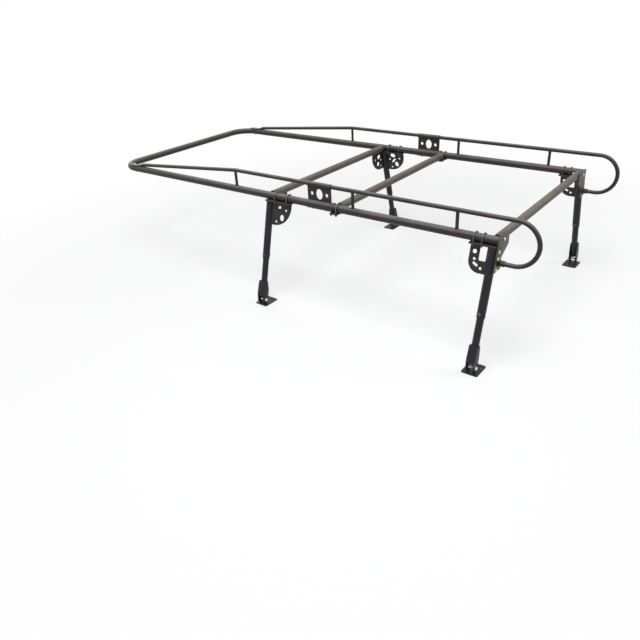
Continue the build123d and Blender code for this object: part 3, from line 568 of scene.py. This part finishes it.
cross_weld_end_y = 0.655
cross_weld_start = 0.008
cross_weld_run = 0.126
cross_lines = []
bar_low, bar_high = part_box("crossbar_front")
for side_name, side in (("left", -1), ("right", 1)):
    low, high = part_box("cross_gusset_front_" + side_name)
    inner = low.y if side > 0 else high.y
    down = Vector((0.0, side * sin(leg_lean), -cos(leg_lean)))
    skin = side * leg_radius / cos(leg_lean)
    for face in (-1, 1):
        x = front_leg_x + face * (gusset_half + gusset_weld_out)
        cross_lines.append([Vector((x, inner + side * 0.004, bar_low.z)),
                            Vector((x, side * cross_weld_end_y, bar_low.z))])
        start = Vector((x, side * leg_head_y - skin, saddle_low.z)) + down * cross_weld_start
        cross_lines.append([start, start + down * cross_weld_run])
for side in (-1, 1):
    ring = []
    for i in range(49):
        angle = 2 * pi * i / 48
        spread = leg_radius + 0.0002
        ring.append(Vector((
            front_leg_x + spread * cos(angle), side * bar_high.y, rail_z + spread * sin(angle))))
    cross_lines.append(ring)
points, edges = chain(cross_lines)
run_tree("cross_gusset_welds", bead_tree, points, edges,
         {"Coat": bead_coat, "Bead Width": 0.0058}, "rack_frame")


# ---- crossbars
# The same pipe as the rails, coated too, but rubbed and dusty from the ladders that lie across it,
# so it looks browner and duller than the rails; its lighter top is partly dust and partly a painted
# highlight. The middle one lies on its own clamp plates.
bar_coat = powder_coat("bar_coat", (0.062, 0.050, 0.042), (0.25, 0.20, 0.165), 0.72, 0.46, 0.5)
for node in ("crossbar_front", "crossbar_middle", "crossbar_rear"):
    finish_node(node, bar_coat)
soften("mid_clamp_plates", "mid_clamp_plates_finished", 0.0007, plate_coat)
clamp_lines = []
clamp_weld_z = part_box("mid_clamp_plates")[1].z + 0.0005
clamp_plate_depth = 0.038
bar_low, bar_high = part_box("crossbar_middle")
bar_x = (bar_low.x + bar_high.x) / 2
for side in (-1, 1):
    for face in (-1, 1):
        x = bar_x + face * 0.004
        clamp_lines.append([Vector((x, side * (bar_high.y - clamp_plate_depth), clamp_weld_z)),
                            Vector((x, side * (bar_high.y - 0.001), clamp_weld_z))])
points, edges = chain(clamp_lines)
run_tree("clamp_welds", bead_tree, points, edges,
         {"Coat": bead_coat, "Bead Height": 0.0046}, "middle_bar")


# ---- rear brackets and loop sockets
# A 6 mm plate across the back of each rear leg, which carries the rear crossbar's end and a short
# socket for the guard rail's loop. Bronze-brown coat, since it is sprayed in a batch of its own.
bracket_coat = powder_coat(
    "bracket_coat", (0.052, 0.043, 0.033), (0.17, 0.14, 0.11), 0.35, 0.42, 0.45)
socket_lines = []
for side_name in ("left", "right"):
    node = "bar_bracket_rear_" + side_name
    soften(node, node + "_finished", 0.0008, bracket_coat)
for low, high in islands("loop_sockets"):
    middle = (low + high) / 2
    spread = (high.z - low.z) / 2 + 0.0008
    ring = []
    for i in range(41):
        angle = 2 * pi * i / 40
        ring.append(Vector((
            low.x + 0.0006, middle.y + spread * cos(angle), middle.z + spread * sin(angle))))
    socket_lines.append(ring)
soften("loop_sockets", "loop_sockets_finished", 0.0006, plate_coat)
points, edges = chain(socket_lines)
run_tree("socket_welds", bead_tree, points, edges, {"Coat": bead_coat}, "rack_frame")


# ---- telescoping legs and pivoting feet
# Two steel tubes, one inside the other, with a bent foot bracket welded on the lower end and a
# base plate with two ears that turns between its cheeks. Blue-black coat.
foot_pins = {joint["child"]: Vector(joint["pos_m"]) for joint in frame["joints"]
             if joint["type"] == "hinge"}
bracket_top = 0.132
cheek_out = 0.02075
tube_skin = 0.0211
ear_thickness = 0.005
ear_weld_half = 0.016
ear_weld_z = 0.0064
for end in ("front", "rear"):
    for side_name, side in (("left", -1), ("right", 1)):
        corner = end + "_" + side_name
        finish_node("leg_upper_" + corner, leg_coat)
        finish_node("leg_inner_" + corner, leg_coat)
        soften("foot_bracket_" + corner, "foot_bracket_" + corner + "_finished", 0.0009, leg_coat)
        soften("foot_base_" + corner, "foot_base_" + corner + "_finished", 0.0008, leg_coat)
        foot = foot_pins["foot_" + corner]
        up = Vector((0.0, -side * sin(leg_lean), cos(leg_lean)))
        out = Vector((0.0, side * cos(leg_lean), sin(leg_lean)))
        top = foot + up * bracket_top
        rings = []
        for face in (-1, 1):
            x = Vector((face * (cheek_out + 0.0004), 0.0, 0.0))
            rings.append([top + x - out * 0.008, top + x + out * 0.019])
        ring = []
        for i in range(17):
            angle = pi * i / 16
            across = Vector((tube_skin * cos(angle), 0.0, 0.0))
            ring.append(top + across + out * tube_skin * sin(angle))
        rings.append(ring)
        points, edges = chain(rings)
        run_tree("foot_welds_" + corner, bead_tree, points, edges,
                 {"Coat": leg_coat, "Bead Width": 0.0048}, "lower_leg_" + corner)
        rings = []
        for face in (-1, 1):
            outer = foot.x + face * cheek_out
            for x in (outer - face * 0.0005 + face * 0.0009,
                      outer - face * (ear_thickness + 0.0009)):
                rings.append([Vector((x - face * 0.0005, foot.y - ear_weld_half, ear_weld_z)),
                              Vector((x - face * 0.0005, foot.y + ear_weld_half, ear_weld_z))])
        points, edges = chain(rings)
        run_tree("ear_welds_" + corner, bead_tree, points, edges,
                 {"Coat": leg_coat, "Bead Width": 0.0038, "Bead Height": 0.003},
                 "foot_" + corner)


# ---- hex bolts, nuts and screws
# Cold-headed hex bolts and nuts: a 30 degree chamfer on the corners, a thin round washer face, and
# rolled threads. Bright zinc on the rack, yellow zinc at the rear brackets, black in the legs.
def zinc(name, colour, tint, roughness):
    """Plated steel: brushed gloss, faint colour bands in the plating, dull spots of first rust."""
    plate = bpy.data.materials.new(name)
    plate.use_nodes = True
    nodes = plate.node_tree.nodes
    links = plate.node_tree.links
    shader = nodes["Principled BSDF"]
    shader.inputs["Metallic"].default_value = 1.0
    place = nodes.new("ShaderNodeTexCoord")
    bands = nodes.new("ShaderNodeTexNoise")
    bands.inputs["Scale"].default_value = 95.0
    bands.inputs["Detail"].default_value = 5.0
    bands.inputs["Distortion"].default_value = 0.8
    links.new(place.outputs["Object"], bands.inputs["Vector"])
    hue = nodes.new("ShaderNodeValToRGB")
    hue.color_ramp.elements[0].position = 0.34
    hue.color_ramp.elements[0].color = (*colour, 1.0)
    hue.color_ramp.elements[1].position = 0.7
    hue.color_ramp.elements[1].color = (*tint, 1.0)
    links.new(bands.outputs["Fac"], hue.inputs["Fac"])
    spots = nodes.new("ShaderNodeTexNoise")
    spots.inputs["Scale"].default_value = 420.0
    spots.inputs["Detail"].default_value = 4.0
    links.new(place.outputs["Object"], spots.inputs["Vector"])
    rust = nodes.new("ShaderNodeMapRange")
    rust.inputs["From Min"].default_value = 0.66
    rust.inputs["From Max"].default_value = 0.74
    rust.inputs["To Max"].default_value = 0.55
    links.new(spots.outputs["Fac"], rust.inputs["Value"])
    stained = nodes.new("ShaderNodeMix")
    stained.data_type = "RGBA"
    stained.inputs[7].default_value = (0.16, 0.10, 0.06, 1.0)
    links.new(rust.outputs["Result"], stained.inputs[0])
    links.new(hue.outputs["Color"], stained.inputs[6])
    links.new(stained.outputs[2], shader.inputs["Base Color"])
    gloss = nodes.new("ShaderNodeMapRange")
    gloss.inputs["To Min"].default_value = roughness - 0.08
    gloss.inputs["To Max"].default_value = roughness + 0.22
    links.new(spots.outputs["Fac"], gloss.inputs["Value"])
    links.new(gloss.outputs["Result"], shader.inputs["Roughness"])
    relief = nodes.new("ShaderNodeBump")
    relief.inputs["Strength"].default_value = 0.2
    relief.inputs["Distance"].default_value = 0.0002
    links.new(spots.outputs["Fac"], relief.inputs["Height"])
    links.new(relief.outputs["Normal"], shader.inputs["Normal"])
    return plate


def rings_to_mesh(work, rings, closed_ends, turn):
    """Skins rings of points into one closed wall, with its two ends filled or joined up."""
    rows = [[work.verts.new(turn @ point) for point in ring] for ring in rings]
    count = len(rows[0])
    pairs = list(zip(rows, rows[1:])) if closed_ends else list(zip(rows, rows[1:] + rows[:1]))
    for a, b in pairs:
        for i in range(count):
            j = (i + 1) % count
            work.faces.new((a[i], a[j], b[j], b[i]))
    if closed_ends:
        work.faces.new(list(reversed(rows[0])))
        work.faces.new(rows[-1])


def hexagon_ring(across_flats, count, height, limit=None):
    """A ring of points on a hexagon, pulled in to a circle where the limit says so."""
    ring = []
    for i in range(count):
        angle = 2 * pi * i / count
        sector = (angle + pi / 6) % (pi / 3) - pi / 6
        radius = across_flats / 2 / cos(sector)
        if limit:
            radius = min(radius, limit)
        ring.append(Vector((radius * cos(angle), radius * sin(angle), height)))
    return ring


def circle_ring(radius, count, height):
    """A ring of points on a circle."""
    return [Vector((radius * cos(2 * pi * i / count), radius * sin(2 * pi * i / count), height))
            for i in range(count)]


def chamfered(across_flats, count, height, circle, fall):
    """The hexagon's outline where a cone cuts its corners down by up to fall."""
    ring = hexagon_ring(across_flats, count, height)
    corner = across_flats / 2 / cos(pi / 6)
    for point in ring:
        radius = (point.x ** 2 + point.y ** 2) ** 0.5
        point.z = height - fall * max(0.0, radius - circle) / (corner - circle)
    return ring


def hex_head(work, turn, size, height):
    """A bolt head: washer face, six flats, chamfered corners, a shallow dish on top."""
    flats = 1.7 * size
    count = 36
    circle = flats / 2 * 0.96
    rings = [
        circle_ring(circle, count, 0.0),
        circle_ring(circle, count, 0.0004),
        hexagon_ring(flats, count, 0.0004),
        chamfered(flats, count, height, circle, height * 0.2),
        circle_ring(circle, count, height),
        circle_ring(circle * 0.66, count, height),
        circle_ring(circle * 0.58, count, height - 0.0005),
    ]
    rings_to_mesh(work, rings, True, turn)


def hex_nut(work, turn, size, height):
    """A nut: six flats, both faces chamfered, and a countersunk bore."""
    flats = 1.7 * size
    count = 36
    circle = flats / 2 * 0.96
    bore = size / 2
    bottom = chamfered(flats, count, 0.0, circle, -height * 0.14)
    rings = [
        circle_ring(bore + 0.0007, count, 0.0),
        circle_ring(circle, count, 0.0),
        bottom,
        chamfered(flats, count, height, circle, height * 0.14),
        circle_ring(circle, count, height),
        circle_ring(bore + 0.0007, count, height),
        circle_ring(bore, count, height - 0.0007),
        circle_ring(bore, count, 0.0007),
    ]
    rings_to_mesh(work, rings, False, turn)


def thread(work, turn, size, start, stop, pitch):
    """A threaded shank between two heights, as close rings with a chamfered tip."""
    count = 20
    root = size / 2 * 0.88
    crest = size / 2 * 0.995
    rings = [circle_ring(root, count, start)]
    height = start + pitch / 4
    while height < stop - pitch:
        rings.append(circle_ring(crest, count, height))
        rings.append(circle_ring(root, count, height + pitch / 2))
        height += pitch
    rings.append(circle_ring(root, count, stop - pitch / 3))
    rings.append(circle_ring(root * 0.82, count, stop))
    rings_to_mesh(work, rings, True, turn)


def stand(seat, way):
    """The turn that stands a bolt on its seat with its head pointing the given way."""
    return Matrix.Translation(seat) @ Vector(way).to_track_quat("Z", "Y").to_matrix().to_4x4()


def hex_bolt(work, seat, way, size, length):
    """A bolt on its seat: the head points the given way, the threaded shank the other."""
    head_height, pitch = bolt_sizes[size]
    back = [-part if part else 0.0 for part in way]
    hex_head(work, stand(seat, way), size, head_height)
    thread(work, stand(seat, back), size, 0.0, length, pitch)


def hardware(name, work, material, body, replaced):
    """Finishes a group of bolts and nuts as one piece on its body."""
    mesh = bpy.data.meshes.new(name)
    bmesh.ops.recalc_face_normals(work, faces=work.faces)
    for face in work.faces:
        face.smooth = True
    for line in work.edges:
        if len(line.link_faces) == 2 and line.calc_face_angle(0) > radians(20):
            line.smooth = False
    work.to_mesh(mesh)
    work.free()
    mesh.materials.append(material)
    piece = bpy.data.objects.new(name, mesh)
    bpy.context.collection.objects.link(piece)
    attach(piece, body)
    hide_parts(*replaced)
    return piece


yellow_zinc = zinc("yellow_zinc", (0.72, 0.55, 0.24), (0.82, 0.74, 0.46), 0.3)
bright_zinc = zinc("bright_zinc", (0.66, 0.67, 0.69), (0.84, 0.85, 0.86), 0.26)
black_zinc = zinc("black_zinc", (0.085, 0.082, 0.08), (0.16, 0.15, 0.14), 0.38)

# thread size: height of the head, pitch of the thread
bolt_sizes = {0.008: (0.00512, 0.00125), 0.010: (0.0064, 0.0015), 0.012: (0.00768, 0.00175)}
longest_nut = 0.02

work = bmesh.new()
for low, high in islands("bracket_bolts"):
    middle = (low + high) / 2
    seat = Vector((high.x - bolt_sizes[0.010][0], middle.y, middle.z))
    hex_bolt(work, seat, (1, 0, 0), 0.010, seat.x - low.x)
hardware("bracket_bolts_finished", work, yellow_zinc, "rack_frame",
         ["bracket_bolts"])
work = bmesh.new()
for low, high in islands("bracket_nuts"):
    middle = (low + high) / 2
    hex_nut(work, stand(Vector((high.x, middle.y, middle.z)), (-1, 0, 0)), 0.010, high.x - low.x)
hardware("bracket_nuts_finished", work, yellow_zinc, "rack_frame", ["bracket_nuts"])
work = bmesh.new()
for low, high in islands("bar_end_bolts"):
    middle = (low + high) / 2
    if high.x - low.x > longest_nut:
        seat = Vector((high.x - bolt_sizes[0.010][0], middle.y, middle.z))
        hex_bolt(work, seat, (1, 0, 0), 0.010, seat.x - low.x)
    else:
        seat = Vector((high.x, middle.y, middle.z))
        hex_nut(work, stand(seat, (-1, 0, 0)), 0.010, high.x - low.x)
hardware("bar_end_bolts_finished", work, yellow_zinc, "rack_frame",
         ["bar_end_bolts"])

work = bmesh.new()
for low, high in islands("guard_end_bolts"):
    middle = (low + high) / 2
    if high.z - low.z > longest_nut:
        seat = Vector((middle.x, middle.y, high.z - bolt_sizes[0.008][0]))
        hex_bolt(work, seat, (0, 0, 1), 0.008, seat.z - low.z)
    else:
        seat = Vector((middle.x, middle.y, high.z))
        hex_nut(work, stand(seat, (0, 0, -1)), 0.008, high.z - low.z)
hardware("guard_end_bolts_finished", work, bright_zinc, "rack_frame",
         ["guard_end_bolts"])

work = bmesh.new()
for low, high in islands("splice_screws"):
    middle = (low + high) / 2
    seat = Vector((middle.x, middle.y, low.z + bolt_sizes[0.008][0]))
    hex_bolt(work, seat, (0, 0, -1), 0.008, high.z - seat.z)
hardware("splice_screws_finished", work, bright_zinc, "rack_frame",
         ["splice_screws"])

work = bmesh.new()
lock_height = 0.3152
lock_shank = 0.0623
lock_nut = 0.008
for end in ("front", "rear"):
    for side_name, side in (("left", -1), ("right", 1)):
        foot = foot_pins["foot_" + end + "_" + side_name]
        up = Vector((0.0, -side * sin(leg_lean), cos(leg_lean)))
        out = Vector((0.0, side * cos(leg_lean), sin(leg_lean)))
        axis = foot + up * lock_height
        head_height, pitch = bolt_sizes[0.010]
        hex_head(work, stand(axis + out * leg_radius, out), 0.010, head_height)
        thread(work, stand(axis + out * leg_radius, -out), 0.010, 0.0, lock_shank, pitch)
        hex_nut(work, stand(axis - out * leg_radius, -out), 0.010, lock_nut)
hardware("leg_lock_bolts_finished", work, black_zinc, "rack_frame",
         ["leg_lock_bolts"])

for end in ("front", "rear"):
    for side_name in ("left", "right"):
        corner = end + "_" + side_name
        node = "foot_bolt_" + corner
        work = bmesh.new()
        for low, high in islands(node):
            middle = (low + high) / 2
            if high.x - low.x > longest_nut:
                seat = Vector((high.x - bolt_sizes[0.012][0], middle.y, middle.z))
                hex_bolt(work, seat, (1, 0, 0), 0.012, seat.x - low.x)
            else:
                seat = Vector((high.x, middle.y, middle.z))
                hex_nut(work, stand(seat, (-1, 0, 0)), 0.012, high.x - low.x)
        hardware(node + "_finished", work, bright_zinc, "lower_leg_" + corner,
                 [node])


# ---- U-bolts
# 8 mm rod bent over the rail, threaded at both ends, each drawn tight by two nuts under its plate.
# Blackened zinc, so that they hardly show against the coated rails.
rod_radius = 0.004
rod_steps = 20
for node, nut_node, body in (("rail_ubolts", "rail_ubolt_nuts", "rack_frame"),
                             ("mid_ubolts", "mid_ubolt_nuts", "middle_bar")):
    nut_boxes = islands(nut_node)
    work = bmesh.new()
    for low, high in nut_boxes:
        middle = (low + high) / 2
        seat = Vector((middle.x, middle.y, high.z))
        hex_nut(work, stand(seat, (0, 0, -1)), 0.008, high.z - low.z)
    hardware(nut_node + "_finished", work, black_zinc, body, [nut_node])
    work = bmesh.new()
    for low, high in islands(node):
        middle = (low + high) / 2
        bend = (high.y - low.y) / 2 - rod_radius
        centre_z = high.z - rod_radius - bend
        thread_top = nut_boxes[0][1].z + 0.004
        path = [Vector((middle.x, middle.y - bend, z)) for z in (thread_top, centre_z)]
        for i in range(1, 24):
            angle = pi - pi * i / 24
            path.append(Vector((
                middle.x, middle.y + bend * cos(angle), centre_z + bend * sin(angle))))
        path += [Vector((middle.x, middle.y + bend, z)) for z in (centre_z, thread_top)]
        rings = []
        for i, point in enumerate(path):
            before = path[max(i - 1, 0)]
            after = path[min(i + 1, len(path) - 1)]
            heading = (after - before).normalized()
            side_way = Vector((1.0, 0.0, 0.0))
            lift = heading.cross(side_way)
            turns = [2 * pi * k / rod_steps for k in range(rod_steps)]
            rings.append([point + (side_way * cos(t) + lift * sin(t)) * rod_radius for t in turns])
        rings_to_mesh(work, rings, True, Matrix.Identity(4))
        for way in (-1, 1):
            seat = Vector((middle.x, middle.y + way * bend, thread_top))
            thread(work, stand(seat, (0, 0, -1)), 0.008, 0.0, seat.z - low.z, bolt_sizes[0.008][1])
    hardware(node + "_finished", work, black_zinc, body, [node])


# ---- rail end caps
# Moulded black plastic discs, matt and finely pitted, pressed into the rear ends of the side rails
# behind the brackets.
cap = bpy.data.materials.new("end_cap")
cap.use_nodes = True
nodes = cap.node_tree.nodes
links = cap.node_tree.links
shader = nodes["Principled BSDF"]
place = nodes.new("ShaderNodeTexCoord")
grain = nodes.new("ShaderNodeTexNoise")
grain.inputs["Scale"].default_value = 900.0
grain.inputs["Detail"].default_value = 3.0
links.new(place.outputs["Object"], grain.inputs["Vector"])
tone = nodes.new("ShaderNodeValToRGB")
tone.color_ramp.elements[0].color = (0.012, 0.012, 0.012, 1.0)
tone.color_ramp.elements[1].color = (0.03, 0.03, 0.03, 1.0)
links.new(grain.outputs["Fac"], tone.inputs["Fac"])
links.new(tone.outputs["Color"], shader.inputs["Base Color"])
matt = nodes.new("ShaderNodeMapRange")
matt.inputs["To Min"].default_value = 0.5
matt.inputs["To Max"].default_value = 0.8
links.new(grain.outputs["Fac"], matt.inputs["Value"])
links.new(matt.outputs["Result"], shader.inputs["Roughness"])
pits = nodes.new("ShaderNodeBump")
pits.inputs["Strength"].default_value = 0.3
pits.inputs["Distance"].default_value = 0.0003
links.new(grain.outputs["Fac"], pits.inputs["Height"])
links.new(pits.outputs["Normal"], shader.inputs["Normal"])
finish_node("rail_end_caps", cap)
